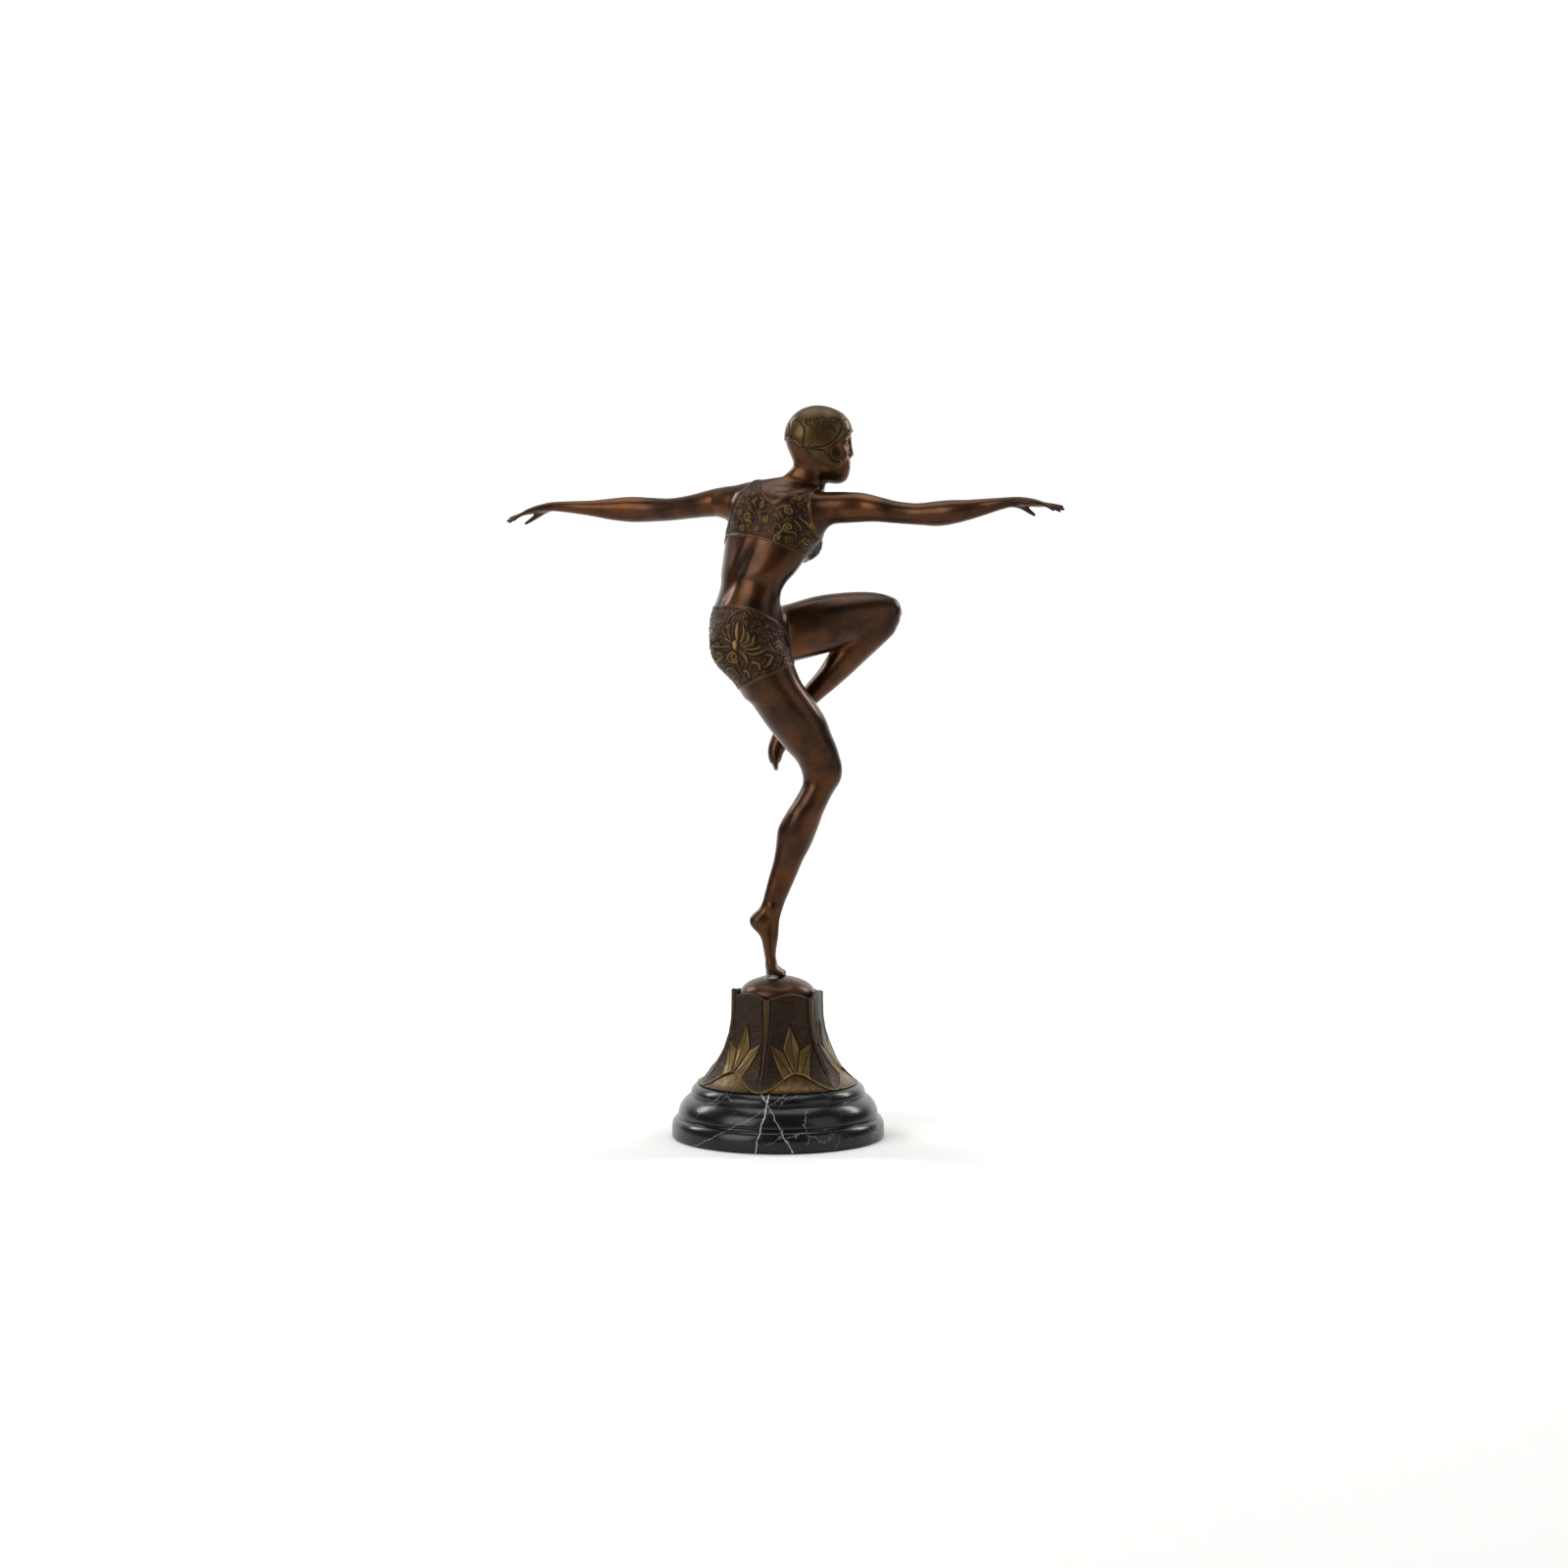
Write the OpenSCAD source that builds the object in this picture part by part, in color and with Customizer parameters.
// Bronze dancer on a bell-shaped base and a round marble plinth.
// Millimetres, +Z up. The origin is the centre of the felt's underside, on the plinth's axis.
// The dancer is seen in profile, facing +X, when looked at along +Y.

/* [Plinth] */
// Radius of the marble plinth's bottom tier
plinth_r = 68; // [66:0.5:72]
// Height of the marble's top face above the table
plinth_top = 35; // [34:0.5:36]
// Thickness of the felt under the marble
felt_t = 1.5; // [1:0.5:2]

/* [Bell] */
// Corner radius of the bell casting at its top rim
rim_corner_r = 30.5; // [30:0.5:32]
// Corner radius of the bell casting where it stands on the marble
foot_corner_r = 54; // [53:0.5:56]
// Height of the scalloped rim at its corners
rim_z = 92; // [91:0.5:93]
// Rise of the rim between two corners
scallop_h = 2.5; // [1:0.5:3]
// Angle of the first corner from +X
corner_turn = 16.5; // [0:0.5:59.5]
// Wall of the bell casting where it is thinnest
bell_wall = 3.2; // [3:0.2:4]

/* [Dome] */
// Radius of the dome's rim inside the collar
dome_r = 24.2; // [23.5:0.1:24.4]
// Height of the dome's crown, where the foot stands
dome_top = 104; // [103.5:0.5:104.5]
// Wall of the dome casting
dome_wall = 2.6; // [2:0.2:3]

/* [Fixings] */
// Radius of the threaded rod that clamps bell and plinth, M6
rod_r = 3; // [3]
// Radius of the threaded stud in the standing foot, M4
foot_stud_r = 2; // [2]
// Radius of the pins in the joints between the castings
pin_r = 2; // [1.5:0.1:2.2]
// Outer radius of the sleeve that joins the two hollow trunk castings at the waist
sleeve_r = 10; // [8:0.5:11]

/* [Figure] */
// Sides of each limb's rings
limb_sides = 20; // [16:2:24]
// Sides of the trunk's and head's rings
trunk_sides = 28; // [24:2:32]
// Rings between two stations
ring_steps = 2; // [2:1:3]

/* [Hidden] */
$fn = 64;

bronze = "#4a2c1a";
costume_bronze = "#55431f";
dome_bronze = "#5a301c";
black_marble = "#15151a";
steel = "#9a9a9a";
braze_grey = "#8f9c8c";
felt_green = "#27402c";

// Seats inside the base.
nut_pocket_r = 12;
nut_pocket_top = 13;
washer_t = 1.6;
nut_t = 5;
nut_flat_r = 5.77;
rod_low = 4;
rod_high = 58;
bar_low = 48;
bar_t = 6;
bar_w = 14;
lobes = 6;
sides_per_lobe = 6;
bell_levels = 14;
cavity_foot_r = 46.5;
seat_z = 86;
seat_r = 22.2;

// The dome is a spherical cap on a short cylindrical rim.
dome_spring_z = 94.5;
dome_rise = dome_top - dome_spring_z;
dome_sphere_r = (dome_r * dome_r + dome_rise * dome_rise) / (2 * dome_rise);
dome_centre_z = dome_top - dome_sphere_r;
crown_flat_r = 8;
crown_z = dome_top - 0.4;
boss_r = 6;
boss_z = 97;
braze_r = 6.5;
braze_t = 1.4;
foot_z = crown_z + braze_t;
foot_washer_t = 1;
foot_nut_t = 3.2;
foot_nut_flat_r = 4.04;

// The waist sleeve reaches this far into each trunk casting.
sleeve_reach = 12;
sleeve_wall = 2.5;

// Planes where the castings meet: a point on the plane and its normal, pointing away from the hips
// or from the chest.
waist_cut = [[-18, 0, 338.5], [0.2, 0, 0.98]];
right_hem_cut = [[-8, -14, 295.5], [0.42, 0.02, -0.91]];
left_hem_cut = [[3, 17, 324], [0.96, 0.2, 0.18]];
neck_cut = [[9, 1, 415], [0.4, 0, 0.92]];
right_shoulder_cut = [[26, -12, 402], [0.93, -0.37, 0]];
left_shoulder_cut = [[-31, 13, 406], [-0.9, 0.43, 0.05]];

// Where the pins cross the planes: centre, direction, half length.
neck_pin_at = [[9.5, 1, 415], [0.45, 0, 0.89], 9];
right_shoulder_pin_at = [[26, -12, 403], [0.95, -0.31, 0], 9];
left_shoulder_pin_at = [[-31, 13, 408], [-0.9, 0.43, 0], 9];
right_hip_pin_at = [[-8, -13, 295.5], [0.42, 0.02, -0.91], 13];
left_hip_pin_at = [[3, 17, 324], [0.96, 0.2, 0.18], 12];

// Stations of the standing leg, from the hip down to the toes: centre, half width, half depth, turn.
standing_leg_line = [
    [-13, -14, 312, 20, 19, 0], [-8.5, -14, 301, 20, 18.5, 0], [-3.5, -13, 291, 20.2, 18.5, 0],
    [3.5, -12, 280, 20.2, 18, 0], [10, -11, 270, 19.8, 17.5, 0], [16, -9, 260, 18.3, 16.5, 0],
    [22.4, -7, 250, 15.8, 14.5, 0], [27.8, -5, 240, 13, 12.5, 0], [28, -4, 229, 11.4, 11.5, 0],
    [23, -4, 219, 11, 11, 0], [17.2, -4, 209, 12, 11.5, 0], [13, -3, 199, 12.4, 11.5, 0],
    [10, -2, 188, 11, 10.5, 0], [6.5, -2, 178, 9.5, 9, 0], [3, -1, 168, 8.8, 8, 0],
    [-0.5, -1, 158, 7.9, 7, 0], [-4, 0, 149, 7.4, 6.2, 0], [-8.4, 0, 141, 9, 6.2, 0],
    [-8, 0, 135, 8, 6.2, 0], [-5.9, 0, 128, 5.6, 6.4, 0], [-5.2, 0, 120, 4.2, 6.8, 0],
    [-4.6, 0, 112.5, 4, 7.4, 0], [-2.2, 0, 108, 6, 7.8, 0], [-1, 0, 105, 7, 7.6, 0]];

// The raised thigh, and the raised shin with its pointed foot: centre, half width up, half width across.
raised_thigh_line = [
    [-12, 13, 320, 19, 18.5], [8, 18, 325.5, 19, 18.5], [30, 23, 331.5, 18.5, 17.5],
    [50, 28, 335.5, 16.2, 15.5], [65, 31, 337.8, 13.8, 13], [75, 32, 338, 10.5, 10.5],
    [80.5, 32.5, 337.5, 5, 6]];
raised_shin_line = [
    [76, 32, 337, 6, 7], [70, 32, 333, 10, 10], [61.5, 32, 326, 11.2, 11.5],
    [51, 32, 316.5, 11.5, 12], [41, 32, 305.5, 9.6, 11], [31.5, 32, 296, 8, 9.5],
    [21, 32, 286, 6.8, 7.5], [13, 32, 276, 6, 6.5], [7, 32, 268, 6.2, 6.5], [3, 32, 258, 6.5, 7],
    [-1, 32, 249, 5.3, 8], [-2.2, 32, 241, 3.8, 7.6], [-1.5, 32, 236.5, 2.6, 5.5],
    [-1.2, 32, 234.4, 1, 2.5]];

// The arms from the shoulder to the finger tips: centre, half height, half width.
right_arm_line = [
    [14, -7, 401, 14, 12], [26, -12, 401.5, 12.6, 11.2], [34, -15, 402.8, 10.4, 10],
    [43.5, -18, 403, 9.9, 9.5], [53.5, -20, 402.8, 9.3, 9], [63, -24, 401.4, 8, 8],
    [73, -27, 399.5, 7.1, 7.2], [83, -30, 398.3, 6.8, 7], [90, -33, 397.8, 7, 7],
    [99.5, -36, 397.8, 7.9, 7.5], [109, -40, 398.6, 7.6, 7.2], [118.6, -43, 399.7, 6.4, 6.2],
    [128, -46, 401.3, 5.2, 5], [137.5, -50, 402.7, 3.9, 4.2], [147, -53, 403.8, 3, 4],
    [152, -54.5, 403.5, 2.8, 5.2], [158, -56, 402.5, 2.6, 6], [165, -58, 401, 2.2, 5],
    [172, -59.6, 399.6, 1.6, 3.6], [176, -60.5, 398.8, 0.8, 1.6]];
left_arm_line = [
    [-19, 8, 406.5, 13, 12], [-31, 14, 408.2, 11.2, 11], [-38, 18, 408.9, 9.6, 9.5],
    [-44.5, 21, 408, 8.7, 9], [-57.5, 28, 406.2, 7.6, 8], [-70.6, 36, 405.2, 7.4, 7.4],
    [-84, 44, 405.8, 8, 7.5], [-97, 48, 406.4, 8.4, 7.8], [-110, 50, 406.7, 7.1, 7],
    [-123, 52, 407.5, 5.2, 5.6], [-136, 54, 408.3, 3.9, 4.6], [-149, 55, 408.6, 2.9, 4],
    [-155, 55, 407.6, 2.9, 5], [-161, 55.5, 405.7, 2.8, 5.8], [-168, 56, 403, 2.3, 5.2],
    [-175, 56.5, 400.2, 1.8, 3.8], [-181.5, 57, 397.4, 0.8, 1.8]];
right_thumb_line = [[144, -54, 402.5, 2.2, 2.2], [151, -57.5, 399.6, 2, 2],
    [156.5, -60, 397, 1.6, 1.6], [159, -61, 395.8, 0.7, 0.7]];
left_thumb_line = [[-151, 54, 407, 2.2, 2.2], [-159, 51, 401.8, 2, 2],
    [-165.5, 49.5, 397.6, 1.5, 1.5], [-169, 49, 396, 0.7, 0.7]];

// Trunk rings are level: centre, half breadth, half depth, and how far the chest is turned from +Y.
hips_line = [
    [-19, 0, 349, 24.5, 19, 62], [-20, 0, 340, 26.5, 21.5, 68], [-20.5, 0, 330, 29.5, 23.8, 74],
    [-19.8, 0, 320, 31, 24.6, 78], [-17.8, 0, 310, 31, 24.6, 80], [-13.8, -1, 300, 29, 23, 80],
    [-10, -3, 291, 25, 18.6, 80], [-7, -6, 283, 19, 14, 80]];
torso_line = [
    [-20.5, 0, 327, 27, 21, 66], [-20, 0, 336, 25.5, 19, 61], [-19.5, 0, 345, 24, 17.5, 57],
    [-16.8, 0, 355, 24.4, 17.8, 52], [-13.8, 0, 362, 26.5, 19, 46], [-9.5, 1, 371, 28.4, 20.8, 40],
    [-5.5, 2, 380, 31, 22.5, 34], [-3, 2, 390, 33, 22.5, 30], [-2, 1, 400, 33, 20.5, 27],
    [-2, 1, 409, 31, 17, 25], [-4, 2.5, 415.5, 27, 14, 24], [-7, 4.5, 420, 18, 9.5, 24],
    [-6, 4, 423, 7, 5, 24]];
hips_hollow_line = [[-20, 0, 333, 19, 15, 74], [-22, 0, 322, 20.5, 14.5, 78],
    [-21, 0, 311, 17, 12, 80]];
torso_hollow_line = [[-19, 0, 348, 17, 11.5, 56], [-16.8, 0, 355, 18.5, 12.5, 52],
    [-13.8, 0, 362, 20.5, 13.5, 46], [-8, 1, 374, 24, 16.5, 38], [-4, 2, 386, 26.5, 17.5, 32],
    [-2, 1.5, 395, 25, 15, 28]];
breast_r = 12;
breast_at = [[16, 7.5, 382.5], [-7, 20.5, 383]];
neck_line = [[3, 1, 402, 17, 13, 0], [6.5, 1, 410, 13.5, 11, 0], [11.5, 1, 416, 10.5, 9.8, 0],
    [17.5, 1, 422, 8.4, 9, 0], [20.5, 0, 430, 8.6, 9, 0], [21, 0, 440, 8.6, 9, 0]];
head_line = [[33, 0, 419.5, 3, 3, 0], [31.5, 0, 422.5, 9, 7.5, 0], [28.5, 0, 429, 14.5, 12, 0],
    [26.6, 0, 437, 19, 14.8, 0], [26, 0, 446, 21.8, 16.6, 0], [25.8, 0, 454, 21.4, 16.8, 0],
    [25.8, 0, 461, 18.6, 14.6, 0], [25.8, 0, 466.5, 12.5, 10, 0], [25.8, 0, 469.6, 3.5, 3, 0]];
// A direction that stays clear of the shin's own line.
shin_up = [-0.6, 0, 0.8];
half_space = 400;

function unit(v) = v / norm(v);
function spot(s) = [s[0], s[1], s[2]];
function turn(s) = len(s) > 5 ? s[5] : 0;

// A smooth curve through four stations, for the stretch between the middle two.
function blend(a, b, c, d, t) =
    0.5 * (2 * b + (c - a) * t + (2 * a - 5 * b + 4 * c - d) * t * t
    + (3 * b - a - 3 * c + d) * t * t * t);
function smooth_line(s, k) = let (n = len(s)) concat(
    [for (i = [0:n - 2], j = [0:k - 1])
        blend(s[max(i - 1, 0)], s[i], s[i + 1], s[min(i + 2, n - 1)], j / k)],
    [s[n - 1]]);

// Level rings for the trunk, head and standing leg.
function level_ring(s, m) = let (f = turn(s), u = [cos(f), -sin(f), 0], v = [sin(f), cos(f), 0])
    [for (k = [0:m - 1]) spot(s) + s[3] * cos(360 * k / m) * u + s[4] * sin(360 * k / m) * v];

// Rings square to the line, for the arms and the raised leg. The first half width points up.
function heading(s, i) = unit(spot(s[min(i + 1, len(s) - 1)]) - spot(s[max(i - 1, 0)]));
function square_ring(s, i, m, up) =
    let (t = heading(s, i), u = unit(up - (up * t) * t), v = cross(t, u))
    [for (k = [0:m - 1]) spot(s[i]) + s[i][3] * cos(360 * k / m) * u
        + s[i][4] * sin(360 * k / m) * v];

// Joins rings of m points into a closed skin.
module skin(rings, m, flip = false) {
    n = len(rings);
    points = [for (r = rings, p = r) p];
    sides = [for (i = [0:n - 2], k = [0:m - 1])
        let (a = i * m + k, b = i * m + (k + 1) % m)
        [a, a + m, b + m, b]];
    low = [for (k = [0:m - 1]) k];
    high = [for (k = [m - 1:-1:0]) (n - 1) * m + k];
    faces = concat(sides, [low], [high]);
    polyhedron(points, flip ? [for (f = faces) [for (k = [len(f) - 1:-1:0]) f[k]]] : faces);
}

module level_limb(line, m) {
    s = smooth_line(line, ring_steps);
    rising = line[len(line) - 1][2] > line[0][2];
    skin([for (p = s) level_ring(p, m)], m, !rising);
}

module swept_limb(line, m, up = [0, 0, 1]) {
    s = smooth_line(line, ring_steps);
    skin([for (i = [0:len(s) - 1]) square_ring(s, i, m, up)], m);
}

// Turns +Z to the direction d and moves to the point p.
module aim(p, d) {
    n = unit(d);
    translate(p) rotate([0, acos(n[2]), atan2(n[1], n[0])]) children();
}

// Everything on the side of a plane that its normal points to.
module beyond(cut) {
    aim(cut[0], cut[1]) translate([-half_space / 2, -half_space / 2, 0]) cube(half_space);
}

// The round socket that crosses the waist.
module waist_socket(r) {
    aim(waist_cut[0], waist_cut[1]) translate([0, 0, -sleeve_reach])
        cylinder(h = 2 * sleeve_reach, r = r);
}

module pin_shape(at) {
    aim(at[0], at[1]) translate([0, 0, -at[2]]) cylinder(h = 2 * at[2], r = pin_r);
}

// A full disc that also hides the nut's pocket.
module felt_pad() {
    color(felt_green) cylinder(h = felt_t, r = plinth_r - 2);
}

// A turned profile: a bottom tier, a quirk, a rounded middle tier, a cove and the top tier.
module marble_plinth() {
    tier = plinth_r;
    color(black_marble) difference() {
        rotate_extrude($fn = 120) polygon([
            [0, felt_t], [tier - 0.6, felt_t], [tier - 0.1, felt_t + 0.6], [tier, felt_t + 2],
            [tier, 9], [tier - 0.5, 11.5], [tier - 1.8, 13.6], [tier - 3.6, 14.2],
            [tier - 3.6, 16.2], [tier - 4.2, 19], [tier - 5.6, 22], [tier - 8, 25],
            [tier - 11, 27], [tier - 12.4, 27.6], [tier - 12.4, 29.4], [tier - 13, 31.4],
            [tier - 14.4, 33.6], [tier - 16, plinth_top - 0.4], [tier - 17.5, plinth_top],
            [0, plinth_top]]);
        translate([0, 0, felt_t - 1]) cylinder(h = nut_pocket_top - felt_t + 1, r = nut_pocket_r);
        cylinder(h = plinth_top + 1, r = rod_r);
    }
}

module fixing_rod() {
    color(steel) translate([0, 0, rod_low]) cylinder(h = rod_high - rod_low, r = rod_r);
}

module rod_washer() {
    color(steel) translate([0, 0, nut_pocket_top - washer_t]) difference() {
        cylinder(h = washer_t, r = 10);
        translate([0, 0, -1]) cylinder(h = washer_t + 2, r = rod_r);
    }
}

module rod_nut() {
    color(steel) translate([0, 0, nut_pocket_top - washer_t - nut_t]) difference() {
        cylinder(h = nut_t, r = nut_flat_r, $fn = 6);
        translate([0, 0, -1]) cylinder(h = nut_t + 2, r = rod_r);
    }
}

// The hollow inside the bell casting, round, narrowing to the seat of the dome.
module bell_hollow() {
    rotate_extrude() polygon([
        [0, plinth_top - 1], [cavity_foot_r, plinth_top - 1], [cavity_foot_r, plinth_top + 1],
        [37, 42], [32.4, 48], [29, 54], [26.6, 61], [24.6, 70], [seat_r, 80],
        [seat_r, seat_z], [dome_r, seat_z], [dome_r, rim_z + 10], [0, rim_z + 10]]);
}

// The bridge is fitted to the hollow's wall and tapped for the rod.
module anchor_bar() {
    color(bronze) difference() {
        intersection() {
            bell_hollow();
            translate([-50, -bar_w / 2, bar_low]) cube([100, bar_w, bar_t]);
        }
        translate([0, 0, bar_low - 1]) cylinder(h = bar_t + 2, r = rod_r);
    }
}

// Corner radius of the bell at a share h of its height, from the flared foot to the upright rim.
function bell_corner(h) = rim_corner_r + (foot_corner_r - rim_corner_r) * pow(1 - h, 2.8);
// How far a level is from a plain round: none at the foot, nearly a hexagon at the rim.
function lobe_depth(h) = 0.11 * min(1, 0.25 + 1.4 * h);
function bell_point(h, k) =
    let (m = lobes * sides_per_lobe, a = corner_turn + 360 * k / m,
        share = abs(sin(180 * k / sides_per_lobe)),
        r = bell_corner(h) * (1 - lobe_depth(h) * share),
        z = plinth_top + h * (rim_z + scallop_h * share - plinth_top))
    [r * cos(a), r * sin(a), z];

module bell_skirt() {
    m = lobes * sides_per_lobe;
    color(costume_bronze) difference() {
        bell_body(m);
        bell_hollow();
    }
}

// The top of this skin is a fan about its centre, because the scalloped rim isn't flat.
module bell_body(m) {
    n = bell_levels;
    points = concat([for (i = [0:n - 1], k = [0:m - 1]) bell_point(i / (n - 1), k)],
        [[0, 0, rim_z]]);
    sides = [for (i = [0:n - 2], k = [0:m - 1])
        let (a = i * m + k, b = i * m + (k + 1) % m)
        [a, a + m, b + m, b]];
    low = [[for (k = [0:m - 1]) k]];
    fan = [for (k = [0:m - 1]) [(n - 1) * m + (k + 1) % m, (n - 1) * m + k, n * m]];
    polyhedron(points, concat(sides, low, fan));
}

module dome() {
    inner_r = dome_r - dome_wall;
    color(dome_bronze) difference() {
        union() {
            translate([0, 0, seat_z]) cylinder(h = dome_spring_z - seat_z, r = dome_r);
            intersection() {
                translate([0, 0, dome_centre_z]) sphere(r = dome_sphere_r, $fn = 120);
                translate([0, 0, dome_spring_z]) cylinder(h = crown_z - dome_spring_z, r = dome_r);
            }
        }
        difference() {
            intersection() {
                translate([0, 0, dome_centre_z]) sphere(r = dome_sphere_r - dome_wall, $fn = 120);
                translate([0, 0, seat_z - 1]) cylinder(h = 30, r = inner_r);
            }
            translate([0, 0, boss_z]) cylinder(h = 20, r = boss_r);
        }
        translate([0, 0, seat_z - 1]) cylinder(h = 30, r = foot_stud_r);
    }
}

module foot_stud() {
    low = boss_z - foot_washer_t - foot_nut_t - 2;
    color(steel) translate([0, 0, low]) cylinder(h = foot_z + 3 - low, r = foot_stud_r);
}

module foot_washer() {
    color(steel) translate([0, 0, boss_z - foot_washer_t]) difference() {
        cylinder(h = foot_washer_t, r = 4.5);
        translate([0, 0, -1]) cylinder(h = foot_washer_t + 2, r = foot_stud_r);
    }
}

module foot_nut() {
    color(steel) translate([0, 0, boss_z - foot_washer_t - foot_nut_t]) difference() {
        cylinder(h = foot_nut_t, r = foot_nut_flat_r, $fn = 6);
        translate([0, 0, -1]) cylinder(h = foot_nut_t + 2, r = foot_stud_r);
    }
}

// A thin pad of braze between the ball of the foot and the dome's crown.
module foot_braze() {
    color(braze_grey) difference() {
        translate([0, 0, crown_z]) rotate_extrude() polygon([
            [0, 0], [braze_r, 0], [braze_r - 0.4, 0.8], [braze_r - 1.4, braze_t], [0, braze_t]]);
        translate([0, 0, crown_z - 1]) cylinder(h = braze_t + 2, r = foot_stud_r);
    }
}

module standing_leg() {
    color(bronze) difference() {
        intersection() {
            level_limb(standing_leg_line, limb_sides);
            beyond(right_hem_cut);
        }
        pin_shape(right_hip_pin_at);
        translate([0, 0, foot_z - 1]) cylinder(h = 4, r = foot_stud_r);
    }
}

module raised_leg() {
    color(bronze) difference() {
        union() {
            intersection() {
                swept_limb(raised_thigh_line, limb_sides);
                beyond(left_hem_cut);
            }
            swept_limb(raised_shin_line, limb_sides, shin_up);
        }
        pin_shape(left_hip_pin_at);
    }
}

module hips() {
    color(costume_bronze) difference() {
        union() {
            level_limb(hips_line, trunk_sides);
            swept_limb(raised_thigh_line, limb_sides);
        }
        beyond(waist_cut);
        beyond(right_hem_cut);
        beyond(left_hem_cut);
        level_limb(hips_hollow_line, limb_sides);
        waist_socket(sleeve_r);
        pin_shape(right_hip_pin_at);
        pin_shape(left_hip_pin_at);
    }
}

module torso() {
    color(costume_bronze) difference() {
        union() {
            intersection() {
                level_limb(torso_line, trunk_sides);
                beyond(waist_cut);
            }
            swept_limb(right_arm_line, limb_sides);
            swept_limb(left_arm_line, limb_sides);
            level_limb(neck_line, limb_sides);
            for (p = breast_at) translate(p) sphere(r = breast_r, $fn = 48);
        }
        beyond(neck_cut);
        beyond(right_shoulder_cut);
        beyond(left_shoulder_cut);
        level_limb(torso_hollow_line, limb_sides);
        waist_socket(sleeve_r);
        pin_shape(neck_pin_at);
        pin_shape(right_shoulder_pin_at);
        pin_shape(left_shoulder_pin_at);
    }
}

module head() {
    color(bronze) difference() {
        union() {
            intersection() {
                level_limb(neck_line, limb_sides);
                beyond(neck_cut);
            }
            level_limb(head_line, trunk_sides);
        }
        pin_shape(neck_pin_at);
    }
}

module arm(line, thumb, cut, pin) {
    color(bronze) difference() {
        union() {
            intersection() {
                swept_limb(line, limb_sides);
                beyond(cut);
            }
            swept_limb(thumb, 10);
        }
        pin_shape(pin);
    }
}

module left_arm() {
    arm(left_arm_line, left_thumb_line, left_shoulder_cut, left_shoulder_pin_at);
}

module right_arm() {
    arm(right_arm_line, right_thumb_line, right_shoulder_cut, right_shoulder_pin_at);
}

module waist_sleeve() {
    color(bronze) difference() {
        waist_socket(sleeve_r);
        aim(waist_cut[0], waist_cut[1]) translate([0, 0, -sleeve_reach - 1])
            cylinder(h = 2 * sleeve_reach + 2, r = sleeve_r - sleeve_wall);
    }
}

module neck_pin() {
    color(steel) pin_shape(neck_pin_at);
}

module left_shoulder_pin() {
    color(steel) pin_shape(left_shoulder_pin_at);
}

module right_shoulder_pin() {
    color(steel) pin_shape(right_shoulder_pin_at);
}

module left_hip_pin() {
    color(steel) pin_shape(left_hip_pin_at);
}

module right_hip_pin() {
    color(steel) pin_shape(right_hip_pin_at);
}

felt_pad();
marble_plinth();
fixing_rod();
rod_washer();
rod_nut();
anchor_bar();
bell_skirt();
dome();
foot_stud();
foot_washer();
foot_nut();
foot_braze();
standing_leg();
raised_leg();
hips();
torso();
head();
left_arm();
right_arm();
waist_sleeve();
neck_pin();
left_shoulder_pin();
right_shoulder_pin();
left_hip_pin();
right_hip_pin();
